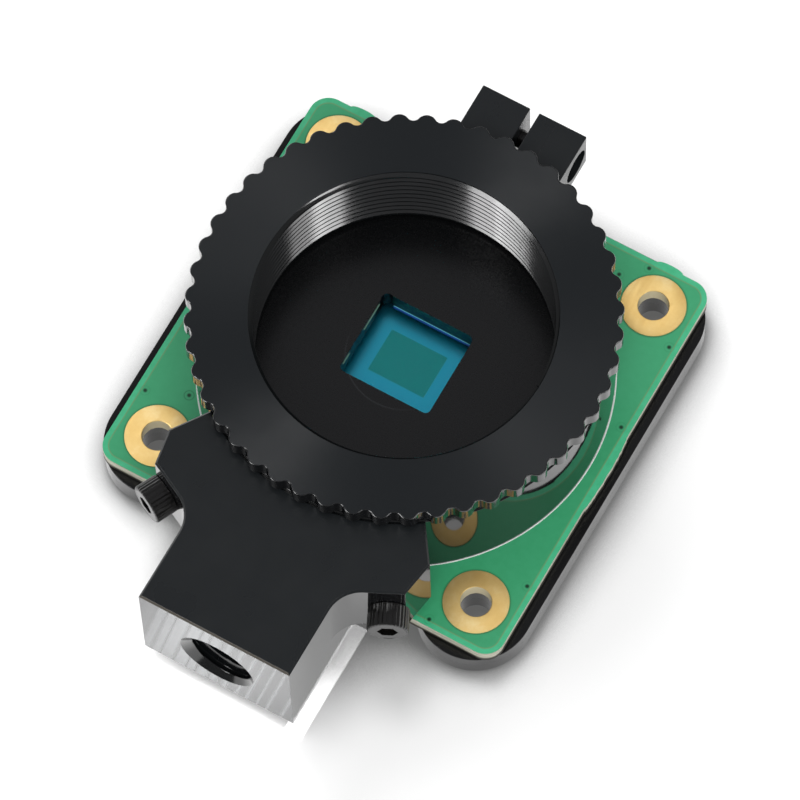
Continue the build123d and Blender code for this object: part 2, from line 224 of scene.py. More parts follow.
def side_rows(z0, z1, bottom, top, segments):
    """Rows of (inset, z) up a prism's side. A rounded rim has a narrow band on either side."""
    quarter = [i / segments * math.pi / 2 for i in range(segments + 1)]
    rows = []
    if bottom:
        rows.append((bottom + RIM_BAND, z0))
        rows += [(bottom * (1 - math.cos(a)), z0 + bottom * (1 - math.sin(a))) for a in reversed(quarter)]
    rows.append((0.0, z0 + bottom + RIM_BAND if bottom else z0))
    rows.append((0.0, z1 - top - RIM_BAND if top else z1))
    if top:
        rows += [(top * (1 - math.cos(a)), z1 - top * (1 - math.sin(a))) for a in quarter]
        rows.append((top + RIM_BAND, z1))
    return rows


def cap(verts, loops, upwards):
    """Triangles of a flat face. Each loop is a range of vertex numbers: first the outline, then holes."""
    numbers = [i for loop in loops for i in loop]
    faces = []
    for triangle in tessellate_polygon([[Vector(verts[i]) for i in loop] for loop in loops]):
        corners = [numbers[i] for i in triangle]
        a, b, c = (Vector(verts[i]) for i in corners)
        if ((b - a).cross(c - a).z > 0) != upwards:
            corners.reverse()
        faces.append(tuple(corners))
    return faces


def prism(name, outline, z0, z1, materials, top=0.0, bottom=0.0, holes=(), wall=0, hole_wall=None,
          place=None, segments=3):
    """Extruded outline with rounded rims and through holes. wall is the side faces' material index."""
    outline = tidy(outline)
    n = len(outline)
    rows = side_rows(z0, z1, bottom, top, segments)
    verts, faces, index = [], [], []
    for distance, z in rows:
        verts += [(x, y, z) for x, y in (inset(outline, distance) if distance else outline)]
    for k, i in product(range(len(rows) - 1), range(n)):
        j = (i + 1) % n
        faces.append((k * n + i, k * n + j, (k + 1) * n + j, (k + 1) * n + i))
        flat = (bottom and k == 0) or (top and k == len(rows) - 2)
        index.append(0 if flat else wall)
    lower, upper = [range(n)], [range((len(rows) - 1) * n, len(rows) * n)]
    for hole in map(tidy, holes):
        s, m = len(verts), len(hole)
        verts += [(x, y, z0) for x, y in hole] + [(x, y, z1) for x, y in hole]
        for i in range(m):
            j = (i + 1) % m
            faces.append((s + j, s + i, s + m + i, s + m + j))
            index.append(wall if hole_wall is None else hole_wall)
        lower.append(range(s, s + m))
        upper.append(range(s + m, s + 2 * m))
    for loops, upwards in ((lower, False), (upper, True)):
        triangles = cap(verts, loops, upwards)
        faces += triangles
        index += [0] * len(triangles)
    return smooth(add_mesh(name, placed(verts, place), faces, materials, index))


def sweep(name, rings, materials, close=True, loop=True, material_index=None):
    """Surface through rows of points. close joins the last row to the first, loop closes each row."""
    rows, cols = len(rings), len(rings[0])
    verts = [p for ring in rings for p in ring]
    faces, index = [], []
    for i, j in product(range(rows if close else rows - 1), range(cols if loop else cols - 1)):
        here, beyond = i * cols, ((i + 1) % rows) * cols
        k = (j + 1) % cols
        faces.append((here + j, beyond + j, beyond + k, here + k))
        if material_index:
            index.append(material_index[j])
    if loop and not close:
        faces.append(tuple(reversed(range(cols))))
        faces.append(tuple(range((rows - 1) * cols, rows * cols)))
    return smooth(add_mesh(name, verts, faces, materials, index))


def lathe(name, profile, materials, steps, place=None, material_index=None):
    """Closed profile of (r, z), counter-clockwise, turned about Z."""
    rings = [[(r * math.cos(a), r * math.sin(a), z) for r, z in profile] for a in turns(steps)]
    rings = [placed(ring, place) for ring in rings]
    return sweep(name, rings, materials, material_index=material_index)


def thread(name, crest, root, pitch, z0, z1, steps, material, place=None, mouth=None, lead=None):
    """Helical inside thread. Its chamfers open to the radius mouth at z1 and to lead at z0."""
    count = int((z1 - z0) / pitch) + 2
    rings = []
    for i, a in enumerate(turns(steps)):
        ring = []
        for turn, (share, height) in product(range(-1, count), THREAD_FORM):
            z = min(max(z0 + (turn + share + i / steps) * pitch, z0), z1)
            r = crest + (root - crest) * height
            if mouth:
                r = min(max(r, mouth - (z1 - z)), mouth)
            if lead:
                r = max(r, lead - (z - z0))
            ring.append((r * math.cos(a), r * math.sin(a), z))
        rings.append(placed(ring, place))
    obj = sweep(name, rings, [material], close=False, loop=False)
    obj.data.flip_normals()
    return obj


def bead(name, points, r, material):
    """Thin round bead along a line."""
    rings = []
    for i, p in enumerate(points):
        before, after = Vector(points[max(i - 1, 0)]), Vector(points[min(i + 1, len(points) - 1)])
        along = (after - before).normalized()
        side = along.cross(Vector((0, 0, 1))).normalized()
        up = side.cross(along)
        rings.append([tuple(Vector(p) + side * r * math.cos(a) + up * r * math.sin(a)) for a in turns(8)])
    return sweep(name, rings, [material], close=False)


def boolean(target, cutter, operation):
    """Applies one exact boolean and drops the cutter."""
    mod = target.modifiers.new("cut", "BOOLEAN")
    mod.operation, mod.object, mod.solver = operation, cutter, "EXACT"
    graph = bpy.context.evaluated_depsgraph_get()
    mesh = bpy.data.meshes.new_from_object(target.evaluated_get(graph))
    target.modifiers.clear()
    target.data = mesh
    bpy.data.objects.remove(cutter)
    return smooth(target)


def put(obj, body, slot, *nodes):
    """Rides on a body and stands for CAD nodes. The slot is not used."""
    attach(obj, body)
    if nodes:
        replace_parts(obj, *nodes)
    return obj


# Shader nodes

class Graph:
    """Small builder of shader nodes."""

    def __init__(self, tree):
        self.tree = tree

    def feed(self, socket, value):
        """Links or sets one input. A plain colour gets its alpha here."""
        if isinstance(value, bpy.types.NodeSocket):
            self.tree.links.new(value, socket)
        else:
            socket.default_value = (*value, 1) if socket.type == "RGBA" else value

    def node(self, kind, inputs=None, **properties):
        """New node with its properties and inputs."""
        new = self.tree.nodes.new(kind)
        for key, value in properties.items():
            setattr(new, key, value)
        for key, value in (inputs or {}).items():
            self.feed(new.inputs[key], value)
        return new

    def math(self, operation, a, b=0.0, clamp=False):
        """Result of one math node on sockets or numbers."""
        return self.node("ShaderNodeMath", {0: a, 1: b}, operation=operation, use_clamp=clamp).outputs[0]

    def add(self, a, b):
        return self.math("ADD", a, b)

    def minus(self, a, b):
        return self.math("SUBTRACT", a, b)

    def times(self, first, *others):
        """Product of two or more."""
        for value in others:
            first = self.math("MULTIPLY", first, value)
        return first

    def length(self, x, y):
        """Length of the vector (x, y)."""
        return self.math("SQRT", self.add(self.times(x, x), self.times(y, y)))

    def fade(self, value, start, end, first=0.0, last=1.0):
        """Goes from first to last while the value goes from start to end, and stays level outside."""
        return self.node("ShaderNodeMapRange", {0: value, 1: start, 2: end, 3: first, 4: last}).outputs[0]

    def band(self, value, start, full, fall, end):
        """1 between full and fall, 0 before start and after end."""
        return self.times(self.fade(value, start, full), self.fade(value, fall, end, 1.0, 0.0))

    def coords(self):
        """Object coordinates, in metres."""
        return self.node("ShaderNodeTexCoord").outputs["Object"]

    def xyz(self):
        """Object coordinates one by one, in millimetres."""
        scaled = self.node("ShaderNodeVectorMath", {0: self.coords(), "Scale": 1 / MM}, operation="SCALE")
        return self.node("ShaderNodeSeparateXYZ", {0: scaled.outputs[0]}).outputs

    def noise(self, scale, detail, roughness=0.55, vector=None, stretch=None):
        """Noise of so many cells a metre, or of so many a unit of the vector given."""
        vector = vector or self.coords()
        if stretch:
            vector = self.node("ShaderNodeMapping", {"Vector": vector, "Scale": stretch}).outputs[0]
        inputs = {"Vector": vector, "Scale": scale, "Detail": detail, "Roughness": roughness}
        return self.node("ShaderNodeTexNoise", inputs).outputs[0]

    def ramp(self, value, *stops):
        """Colours at places from 0 to 1, blended between them."""
        new = self.node("ShaderNodeValToRGB", {0: value})
        elements = new.color_ramp.elements
        while len(elements) < len(stops):
            elements.new(0.5)
        for element, (position, colour) in zip(elements, stops):
            element.position, element.color = position, (*colour, 1)
        return new.outputs[0]

    def mix(self, share, a, b):
        """Colour a where the share is 0, b where it is 1."""
        return self.node("ShaderNodeMix", {0: share, 6: a, 7: b}, data_type="RGBA").outputs[2]


class Shader(Graph):
    """Material on a Principled BSDF."""

    def __init__(self, name):
        self.mat = bpy.data.materials.new(name)
        self.mat.use_nodes = True
        super().__init__(self.mat.node_tree)
        self.bsdf = self.tree.nodes["Principled BSDF"]
        self.out = self.tree.nodes["Material Output"]

    def set(self, **values):
        """Feeds inputs of the BSDF by name, with _ for each space."""
        for key, value in values.items():
            self.feed(self.bsdf.inputs[key.replace("_", " ")], value)
        return self

    def bump(self, height, strength, distance, normal=None):
        """Bumps of a height up to the distance, in millimetres."""
        inputs = {"Strength": strength, "Distance": distance * MM, "Height": height}
        if normal is not None:
            inputs["Normal"] = normal
        return self.set(Normal=self.node("ShaderNodeBump", inputs).outputs[0])


def srgb(code):
    """Linear colour of a hexadecimal sRGB code."""
    values = [int(code[i:i + 2], 16) / 255 for i in (0, 2, 4)]
    return tuple(v / 12.92 if v <= 0.04045 else ((v + 0.055) / 1.055) ** 2.4 for v in values)


# Metals

EDGE_ROUNDING = 0.06


def black_metal(name, code, roughness, ior, grain=0.25, spread=0.05):
    """Black anodised metal: fine grain, patchy gloss, edges that catch the light."""
    s = Shader(name)
    patches = s.noise(260, 3)
    s.set(Base_Color=srgb(code), IOR=ior)
    s.set(Roughness=s.fade(patches, 0.1, 0.9, roughness - 2 * spread, roughness + 2 * spread))
    rounded = s.node("ShaderNodeBevel", {"Radius": EDGE_ROUNDING * MM}, samples=4).outputs[0]
    return s.bump(s.noise(5200, 2), grain, 0.012, rounded).mat


def brushed_metal(name, code, roughness, ior):
    """Black metal brushed along circles round the axis: reflections spread along the radius."""
    mat = black_metal(name, code, roughness, ior)
    graph = Graph(mat.node_tree)
    bsdf = graph.tree.nodes["Principled BSDF"]
    graph.feed(bsdf.inputs["Anisotropic"], 0.9)
    graph.feed(bsdf.inputs["Anisotropic Rotation"], 0.25)
    tangent = graph.node("ShaderNodeTangent", direction_type="RADIAL", axis="Z")
    graph.feed(bsdf.inputs["Tangent"], tangent.outputs[0])
    return mat


def floor_material():
    """Inside floor of the housing: matt black, with the faint turned line round the window. The line's
    lighter colour is a painted highlight, drawn only on its front side.
    """
    line_r, line_half, strength = 4.95, 0.07, 0.5
    s = Shader("floor_black")
    x, y, _ = s.xyz()
    line = s.band(s.length(x, y), line_r - line_half, line_r, line_r, line_r + line_half)
    # Painted highlight: the line is coloured lighter only towards the front, where it would catch the light.
    front = s.fade(s.add(s.times(x, 0.4), y), -4.6, -2.0, 1.0, 0.0)
    line = s.times(line, front)
    grain = s.noise(2500, 3)
    s.set(Base_Color=s.mix(s.times(line, strength), srgb("0A0B0C"), srgb("3A3D40")), IOR=1.62)
    s.set(Roughness=s.fade(grain, 0.2, 0.8, 0.22, 0.32))
    return s.bump(s.add(s.times(grain, 0.2), line), 0.35, 0.02).mat


def flecked(name, noise, low, high, roughness, bump, **values):
    """Surface with flecks of a second colour. low and high are a level of the noise and a colour each."""
    s = Shader(name)
    flecks = s.noise(**noise)
    ends = [(level, srgb(code)) for level, code in (low, high)]
    s.set(Base_Color=s.ramp(flecks, *ends), Roughness=roughness, **values)
    return s.bump(flecks, bump, 0.02).mat


def end_material():
    """Milled end face over dark metal: slanting bright bands that are partly tool lines and partly a painted
    reflection of light streaks on the floor in front, with painted shading that is brightest in the middle,
    a painted darker upper left corner and a painted dark strip along the right edge.
    """
    pitch, slant = 1.05, 0.2035
    s = Shader("mount_end")
    x, _, z = s.xyz()
    along = s.minus(x, s.times(z, slant))
    flat = s.node("ShaderNodeCombineXYZ", {0: along, 1: s.times(z, 0.02)}).outputs[0]
    fine = s.noise(3.8, 2, 0.5, vector=flat)
    wander = s.times(s.noise(0.42, 1, 0.5, vector=flat), 1.3)
    turn = s.math("FRACT", s.add(s.math("DIVIDE", along, pitch), wander))
    line = s.math("PINGPONG", turn, 0.5)
    left = s.minus(0.74, s.times(s.fade(line, 0.0, 0.22, 1.0, 0.0), 0.5))
    right = s.add(0.22, s.times(s.fade(line, 0.28, 0.5), 0.72))
    blend = s.fade(along, -3.0, 2.5)
    # Painted reflection mixed with tool lines: the bright bands stand partly for light streaks on the floor
    # mirrored in this face.
    marks_and_reflection = s.add(s.times(left, s.minus(1.0, blend)), s.times(right, blend))
    marks_and_reflection = s.add(marks_and_reflection, s.times(s.minus(fine, 0.5), 0.35))
    # Painted shading: brightest in the middle of the face, darker towards both sides.
    shade = s.times(s.fade(x, -6.0, -2.5, 0.78, 1.12), s.fade(x, -1.0, 3.5, 1.0, 0.74))
    # Painted reflection: the upper left corner is darker, where the face mirrors darker floor.
    corner = s.fade(along, -8.1, -7.85, 0.45, 1.0)
    # Painted shade: a thin dark strip along the right edge, standing for the rounded edge there.
    rim = s.fade(x, MOUNT_HALF - 0.1, MOUNT_HALF - 0.05, 1.0, 0.1)
    silver_and_reflection = s.times(marks_and_reflection, shade, corner, rim)
    s.set(Base_Color=s.mix(silver_and_reflection, srgb("15171A"), srgb("909294")), IOR=1.6)
    s.set(Metallic=s.times(silver_and_reflection, 0.45), Roughness=s.fade(fine, 0.2, 0.8, 0.12, 0.24))
    return s.bump(marks_and_reflection, 0.15, 0.02).mat


ring_black = brushed_metal("ring_black", "14181B", 0.4, 1.5)
ring_edge = black_metal("ring_edge", "0A0B0D", 0.12, 1.75, grain=0.1, spread=0.03)
thread_black = black_metal("thread_black", "101213", 0.15, 1.75, grain=0.1, spread=0.03)
housing_black = black_metal("housing_black", "0A0C0D", 0.05, 1.75, grain=0.04, spread=0.01)
floor_black = floor_material()
window_black = black_metal("window_black", "05080B", 0.35, 1.25)
window_teal = flecked("window_teal", {"scale": 2600, "detail": 2, "stretch": (1.0, 1.0, 2.0)},
                      (0.5, "08303A"), (0.64, "176048"), 0.35, 0.2, IOR=1.25)
mount_black = black_metal("mount_black", "1B1E20", 0.3, 1.45)
mount_side = black_metal("mount_side", "101113", 0.06, 2.5, grain=0.05, spread=0.01)
# Painted highlight: the lighter brownish colour of the chamfer along the front top edge.
mount_rim_highlight = black_metal("mount_rim_highlight", "4F4A42", 0.35, 1.7)
mount_end = end_material()
cover_black = black_metal("cover_black", "101011", 0.2, 1.45)
screw_black = black_metal("screw_black", "0E0D0C", 0.26, 1.65, grain=0.8)
socket_copper = flecked("socket", {"scale": 1500, "detail": 2},
                        (0.52, "0C0A09"), (0.6, "C58A78"), 0.3, 0.3, Metallic=0.4)


# Board, gold and small parts

VIAS = ((-17.93, -11.99), (13.06, 17.8), (11.15, 16.11), (17.92, 12.37), (17.97, -11.78), (12.41, -18.17),
        (-17.9, 12.1), (-12.3, 17.6), (17.9, 4.2), (-17.9, 3.1))
RINGED_VIA = (-14.54, -10.61)


def board_depth(s, x, y):
    """Distance of a point on the board from its rounded rectangular edge."""
    half_y, centre_y = (BOARD_BACK - BOARD_FRONT) / 2, (BOARD_BACK + BOARD_FRONT) / 2
    past_x = s.minus(s.math("ABSOLUTE", x), BOARD_HALF - BOARD_CORNER)
    past_y = s.minus(s.math("ABSOLUTE", s.minus(y, centre_y)), half_y - BOARD_CORNER)
    outside = s.length(s.math("MAXIMUM", past_x, 0.0), s.math("MAXIMUM", past_y, 0.0))
    inside = s.math("MINIMUM", s.math("MAXIMUM", past_x, past_y), 0.0)
    return s.minus(BOARD_CORNER, s.add(outside, inside))


def board_material():
    """Green mask: darker over copper, lighter in the bare border, with a painted highlight line where the
    mask steps over the copper's edge, and with vias and clearance rings.
    """
    s = Shader("board_green")
    x, y, _ = s.xyz()
    depth = board_depth(s, x, y)
    cloud = s.noise(90, 5)
    fine = s.noise(1500, 3)
    step = s.fade(depth, 0.42, 0.5)
    copper = s.mix(s.fade(cloud, 0.35, 0.65), srgb("42AE7A"), srgb("3AA470"))
    copper = s.mix(s.fade(fine, 0.3, 0.8, 0.0, 0.25), copper, srgb("50BC88"))
    bare = s.mix(s.fade(fine, 0.3, 0.7), srgb("44BE88"), srgb("4FC894"))
    colour = s.mix(step, bare, copper)
    # Painted highlight: a pale line along the mask's step over the copper's edge.
    colour = s.mix(s.times(s.band(depth, 0.4, 0.47, 0.5, 0.58), 0.6), colour, srgb("7C9C6B"))
    from_hole = s.length(s.minus(s.math("ABSOLUTE", x), HOLE_AT), s.minus(s.math("ABSOLUTE", y), HOLE_AT))
    gap = s.fade(from_hole, LAND_R + 0.05, LAND_R + 0.17, 1.0, 0.0)
    colour = s.mix(s.times(gap, 0.6), colour, srgb("2E6B3E"))
    for via in (*VIAS, RINGED_VIA):
        r = s.length(s.minus(x, via[0]), s.minus(y, via[1]))
        colour = s.mix(s.fade(r, 0.1, 0.24, 1.0, 0.0), colour, srgb("0E3A24"))
        halo = s.times(s.band(r, 0.34, 0.4, 0.42, 0.5), 0.55 if via == RINGED_VIA else 0.18)
        colour = s.mix(halo, colour, srgb("1C6B45"))
    s.set(Base_Color=colour, Roughness=0.3, IOR=1.5, Coat_Weight=0.4, Coat_Roughness=0.12)
    return s.bump(s.add(s.times(step, 0.7), s.times(fine, 0.1)), 0.3, 0.03).mat


def edge_material():
    """Cut laminate: cream near the top over a lower part painted dark as shade, with fine layers and a rough
    routed face.
    """
    s = Shader("board_edge")
    layers = s.noise(900, 4, stretch=(0.25, 0.25, 6.0))
    _, y, z = s.xyz()
    # Painted shade: below the cream band the edge is coloured dark; at the front the cream reaches lower.
    height = s.add(z, s.fade(y, -18.0, -17.0, 0.35, 0.0))
    out_of_shade = s.fade(height, DECK - 0.75, DECK - 0.45)
    light = s.ramp(layers, (0.3, srgb("A8A690")), (0.6, srgb("D6D4C4")), (0.8, srgb("E9E6DA")))
    dark = s.ramp(layers, (0.3, srgb("1E1D18")), (0.8, srgb("3C3A30")))
    s.set(Base_Color=s.mix(out_of_shade, dark, light), Roughness=0.7)
    return s.bump(layers, 0.5, 0.05).mat


def gold_material():
    """Gold plate with soft mottling and fine scratches."""
    s = Shader("gold")
    mottled = s.noise(420, 5, 0.6)
    scratch = s.noise(900, 3, stretch=(8.0, 0.6, 1.0))
    tone = s.ramp(mottled, (0.3, srgb("EEC677")), (0.55, srgb("F7D48A")), (0.75, srgb("FFE6AA")))
    s.set(Base_Color=tone, Metallic=0.65, Roughness=s.fade(scratch, 0.3, 0.7, 0.36, 0.52))
    return s.bump(scratch, 0.12, 0.02).mat


def glass(name, tint):
    """Clear glass of a low index, so that it mirrors little of the sky over the sensor."""
    return Shader(name).set(Base_Color=tint, Transmission_Weight=1.0, Roughness=0.0, IOR=1.15).mat


def plain(name, colour, roughness=0.5, metallic=0.0, scale=800, depth=0.15):
    """Ordinary surface with a little unevenness in tone, gloss and height."""
    s = Shader(name)
    uneven = s.noise(scale, 4)
    dark = tuple(c * 0.86 for c in colour)
    s.set(Base_Color=s.mix(uneven, dark, colour), Metallic=metallic, IOR=1.5)
    s.set(Roughness=s.fade(uneven, 0.2, 0.8, max(roughness - 0.06, 0.02), roughness + 0.06))
    if depth:
        s.bump(uneven, depth, 0.01)
    return s.mat


board_green = board_material()
board_edge = edge_material()
gold = gold_material()
barrel_gold = plain("barrel_gold", srgb("FFF2C8"), 0.35, 0.2)
ceramic = plain("ceramic", srgb("1F2124"), 0.5)
silicon = plain("silicon", (0.014, 0.47, 0.69), 0.3, 0.75, scale=120, depth=0.0)
pixel_teal = plain("pixel_teal", (0.002, 0.34, 0.34), 0.3, 0.75, scale=120, depth=0.0)
clear_glass = glass("clear_glass", (1.0, 1.0, 1.0))
blue_glass = glass("blue_glass", (0.95, 0.99, 1.0))
foam = plain("foam", srgb("202020"), 0.9, depth=0.8)
# Painted highlight: the white of the ring at the housing's foot.
foot_highlight_white = plain("foot_highlight_white", srgb("F6FBF7"), 0.4)
# The pale cyan and pale green beads are painted glints in the sensor window.
bead_cyan = plain("bead_cyan", srgb("6CD0EC"), 0.4)
bead_blue = plain("bead_blue", srgb("1450A8"), 0.7)
bead_green = plain("bead_green", srgb("8FBFA8"), 0.25)
ivory = plain("connector_ivory", srgb("DDD6C3"), 0.5)
tin = plain("tin", srgb("C9C8C4"), 0.3, 0.9)
latch_black = plain("latch_black", srgb("2A2A2A"), 0.45)
chip_black = plain("chip_black", srgb("242527"), 0.55)
cap_brown = plain("capacitor_brown", srgb("A98A68"), 0.45)

PLAIN_NODES = {
    "sensor_package": ceramic, "sensor_die": silicon, "pixel_array": pixel_teal, "sensor_glass": clear_glass,
    "filter_glass": blue_glass, "light_seal": foam, "ribbon_connector": ivory, "connector_contacts": gold,
    "connector_anchors": tin, "connector_latch": latch_black, "board_chips": chip_black, "oscillator": tin,
    "capacitors": cap_brown, "capacitor_ends": tin}
for node, material in PLAIN_NODES.items():
    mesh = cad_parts[node].data
    mesh.materials.clear()
    mesh.materials.append(material)


# Focus ring

def lobe_radius(angle):
    """Radius of the scalloped outline: broad crests and narrower valleys, all tangent arcs."""
    pitch = 2 * math.pi / LOBES
    crest = LOBE_CREST * pitch
    along = (angle - LOBE_PHASE + crest / 2) % pitch
    if along < crest:
        span, share, side, off = crest, LOBE_CREST, 1, along - crest / 2
    else:
        span, share, side, off = pitch - crest, 1 - LOBE_CREST, -1, along - (pitch + crest) / 2
    rise = share * LOBE_DEPTH
    half_chord = LOBE_NODE * math.sin(span / 2)
    height = rise + side * LOBE_NODE * (1 - math.cos(span / 2))
    r = (half_chord ** 2 + height ** 2) / (2 * height)
    centre = LOBE_NODE + side * (rise - r)
    return centre * math.cos(off) + side * math.sqrt(max(r ** 2 - (centre * math.sin(off)) ** 2, 0))


def focus_ring():
    """Ring body and scalloped flange as one swept section."""
    edge, band, chamfer = 0.1, 0.05, 0.2
    shoulder = LOBE_NODE - 0.8
    rings = []
    for a in turns(LOBES * 24):
        lobe = lobe_radius(a)
        section = [(LENS_ROOT_R, RING_BOTTOM), (RING_BODY_R - chamfer, RING_BOTTOM),
                   (RING_BODY_R, RING_BOTTOM + chamfer), (RING_BODY_R, FLANGE_Z), (shoulder, FLANGE_Z),
                   (lobe - edge, FLANGE_Z), (lobe, FLANGE_Z + edge), (lobe, FLANGE_Z + edge + band),
                   (lobe, RING_TOP - edge - band), (lobe, RING_TOP - edge),
                   (lobe - edge * 0.3, RING_TOP - edge * 0.3), (lobe - edge, RING_TOP),
                   (lobe - edge - band, RING_TOP), (shoulder, RING_TOP), (LENS_ROOT_R, RING_TOP)]
        rings.append([(r * math.cos(a), r * math.sin(a), z) for r, z in section])
    return sweep("ring", rings, [ring_black, ring_edge], material_index=[0] * 5 + [1] * 6 + [0] * 4)


put(focus_ring(), "ring", "ring_black", "focus_ring")
lens_thread = thread("lens_thread", LENS_R, LENS_ROOT_R, LENS_PITCH, RING_BOTTOM, RING_TOP, 480,
                     thread_black, mouth=LENS_ROOT_R)
put(lens_thread, "ring", "ring_black")


# Lens housing

def window_outline():
    """Sensor window: rounded corners, one of them drilled out."""
    r, drill_r, drill_in = 0.45, 0.54, 0.48
    over = math.degrees(math.acos(drill_in / drill_r))
    points = arc(WINDOW_RIGHT - r, WINDOW_BACK - r, r, 0, 90, 10)
    points += arc(WINDOW_LEFT + drill_in, WINDOW_BACK - drill_in, drill_r, 90 - over, 180 + over, 16)
    points += arc(WINDOW_LEFT + r, WINDOW_FRONT + r, r, 180, 270, 10)
    return points + arc(WINDOW_RIGHT - r, WINDOW_FRONT + r, r, 270, 360, 10)


def housing_wall():
    """Round wall with the clamp slot."""
    bottom, chamfer = DECK + 0.01, 0.15
    slot_start, slot_end, past = 14.0, 18.0, 1.0
    section = [(BORE_R, bottom), (HOUSING_R, bottom), (HOUSING_R, HOUSING_TOP - chamfer),
               (HOUSING_R - chamfer, HOUSING_TOP), (BORE_R, HOUSING_TOP)]
    gap = [(-SLOT_HALF, slot_start), (SLOT_HALF, slot_start), (SLOT_HALF, slot_end), (-SLOT_HALF, slot_end)]
    slot = prism("slot", gap, EAR_BOTTOM, HOUSING_TOP + past, [housing_black])
    return boolean(lathe("housing_wall", section, [housing_black], 360), slot, "DIFFERENCE")


def housing_floor():
    """Floor with the sensor window. The window's far wall, past the drilled corner, is dark teal with green
    flecks.
    """
    finishes = [floor_black, window_black, window_teal]
    past_drill = WINDOW_LEFT + 0.78
    floor = prism("housing_floor", circle(BORE_R + 0.1, 180), WEB, FLOOR, finishes,
                  holes=[window_outline()], hole_wall=1)
    for face in floor.data.polygons:
        if face.material_index == 1 and face.normal.y < -0.9 and face.center.x > past_drill * MM:
            face.material_index = 2
    return floor


def ears():
    """Clamp ears. The right one is in two layers: a clearance hole and a counterbore for the lock screw."""
    side = Matrix(((0, 0, 1, 0), (1, 0, 0, 0), (0, 1, 0, 0), (0, 0, 0, 1)))
    outline = [(EAR_START, EAR_BOTTOM), (EAR_END, EAR_BOTTOM), (EAR_END, HOUSING_TOP),
               (EAR_START, HOUSING_TOP)]
    counterbore_r, clearance_r = 1.5, 0.85
    counterbore = circle(counterbore_r, 64, LOCK_Y, LOCK_Z)
    clearance = circle(clearance_r, 40, LOCK_Y, LOCK_Z)
    finish = [mount_black]
    yield prism("ear_right_inner", outline, SLOT_HALF, LOCK_SEAT, finish, bottom=0.06,
                holes=[clearance], place=side)
    yield prism("ear_right", outline, LOCK_SEAT, EAR_HALF, finish, top=0.09,
                holes=[counterbore], place=side)
    yield prism("ear_left", outline, -EAR_HALF, -SLOT_HALF, finish, top=0.06, bottom=0.09, place=side)


def foot_line():
    """Thin white ring where the housing stands on the board: a painted highlight for the lit chamfer at the
    housing's foot.
    """
    inside, width, height = HOUSING_R - 0.02, 0.08, 0.03
    section = [(inside, DECK), (HOUSING_R + width, DECK), (HOUSING_R + width - 0.01, DECK + height),
               (inside, DECK + height + 0.01)]
    return lathe("foot_line", section, [foot_highlight_white], 360)


def window_beads():
    """Thin beads at the window: a pale cyan one as a painted glint on the filter glass's edge at the far
    wall, a dark blue one along the glass's edge just inside it, and two pale green ones as painted glints on
    its left wall.
    """
    start, length, inwards = WINDOW_LEFT + 0.83, 7.4, 0.12
    far_edge = [(start + length * i / 12, WINDOW_BACK - 0.03, WEB + 0.05) for i in range(13)]
    # Painted glint: a pale cyan bead stands for the light on the glass's edge.
    yield bead("filter_bead", far_edge, 0.035, bead_cyan)
    yield bead("filter_rim", [(x, y - inwards, z) for x, y, z in far_edge], 0.07, bead_blue)
    # Painted glints: two pale green beads on the left wall.
    for i, (y0, y1) in enumerate(((0.4, 3.0), (-3.1, -2.0))):
        left_edge = [(WINDOW_LEFT + 0.02, y0 + (y1 - y0) * k / 6, WEB + 1.45) for k in range(7)]
        yield bead(f"side_bead_{i}", left_edge, 0.03, bead_green)


put(housing_wall(), "module", "housing_black", "lens_housing")
for piece in (housing_floor(), *ears(), foot_line()):
    put(piece, "module", "housing_black")
for piece in window_beads():
    put(piece, "module", "blue_glass")


# Screws

KNURLS = 32
TRIPOD_SCREW = {"head_r": 1.72, "head_h": 2.0, "shank_r": 0.95, "shank_l": 7.0, "flats": 1.5, "socket": 1.0,
                "knurl": 0.05}
BASE_SCREW = {"head_r": BASE_HEAD_R, "head_h": 1.2, "shank_r": 0.95, "shank_l": 4.5, "flats": 1.5,
              "socket": 0.7, "knurl": 0.0}
LOCK_SCREW = {"head_r": 1.35, "head_h": 1.8, "shank_r": 0.8, "shank_l": 5.0, "flats": 1.3, "socket": 0.9,
              "knurl": 0.04}


def screw(name, place, head_r, head_h, shank_r, shank_l, flats, socket, knurl):
    """Socket head screw: head above z = 0, shank below. flats is the socket's width, socket its depth."""
    rim = []
    for a in turns(KNURLS * 8):
        r = head_r - knurl * abs(math.sin(a * KNURLS / 2)) ** 1.5
        rim.append((r * math.cos(a), r * math.sin(a)))
    hexagon = circle(flats / 2 / math.cos(30 * DEG), 6)
    seat = head_h - socket
    head = prism(name, rim, seat, head_h, [screw_black], top=0.18, holes=[hexagon], place=place)
    lower = prism(name + "_seat", rim, 0.0, seat, [socket_copper, screw_black], bottom=0.1, wall=1,
                  place=place)
    shank = prism(name + "_shank", circle(shank_r, 32), -shank_l, 0.0, [screw_black], bottom=0.1,
                  place=place)
    for piece in (head, lower, shank):
        put(piece, "module", "screw_black")
    return head


def radial(side):
    """Place on a tripod screw's axis, at the wing's face, with Z pointing out from the housing."""
    out = Vector((side * math.sin(SCREW_ANGLE), -math.cos(SCREW_ANGLE), 0))
    up = Vector((0, 0, 1))
    turned = Matrix((up.cross(out), up, out)).transposed().to_4x4()
    return Matrix.Translation(out * WING_FACE_R + Vector((0, 0, SCREW_Z))) @ turned


